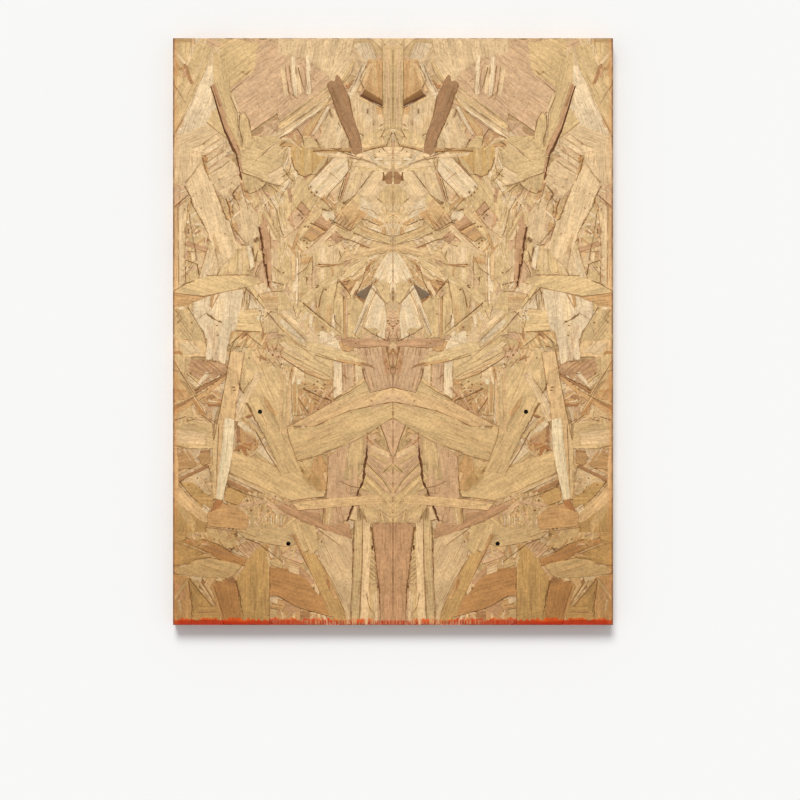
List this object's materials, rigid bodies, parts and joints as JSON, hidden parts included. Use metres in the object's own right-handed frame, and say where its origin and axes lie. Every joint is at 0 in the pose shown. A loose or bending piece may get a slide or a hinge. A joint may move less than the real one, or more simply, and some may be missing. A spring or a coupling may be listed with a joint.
{
  "type": "oriented strand board panel",
  "caption": "Cut rectangular panel of oriented strand board with sawn edges, small drilled fixing holes and orange marking paint along a short edge.",
  "frame": {"origin": "middle of the underside, the face the panel lies on", "axes": "+X across the panel, +Y along its length away from the marked edge, +Z out of the upper face"},
  "size_m": [0.45, 0.6, 0.018],
  "materials": {
    "pressed_strands": "pressed softwood strands in clear resin, satin, sawn edges"
  },
  "bodies": {
    "root": {"osb_board": "pressed_strands"}
  },
  "joints": []
}
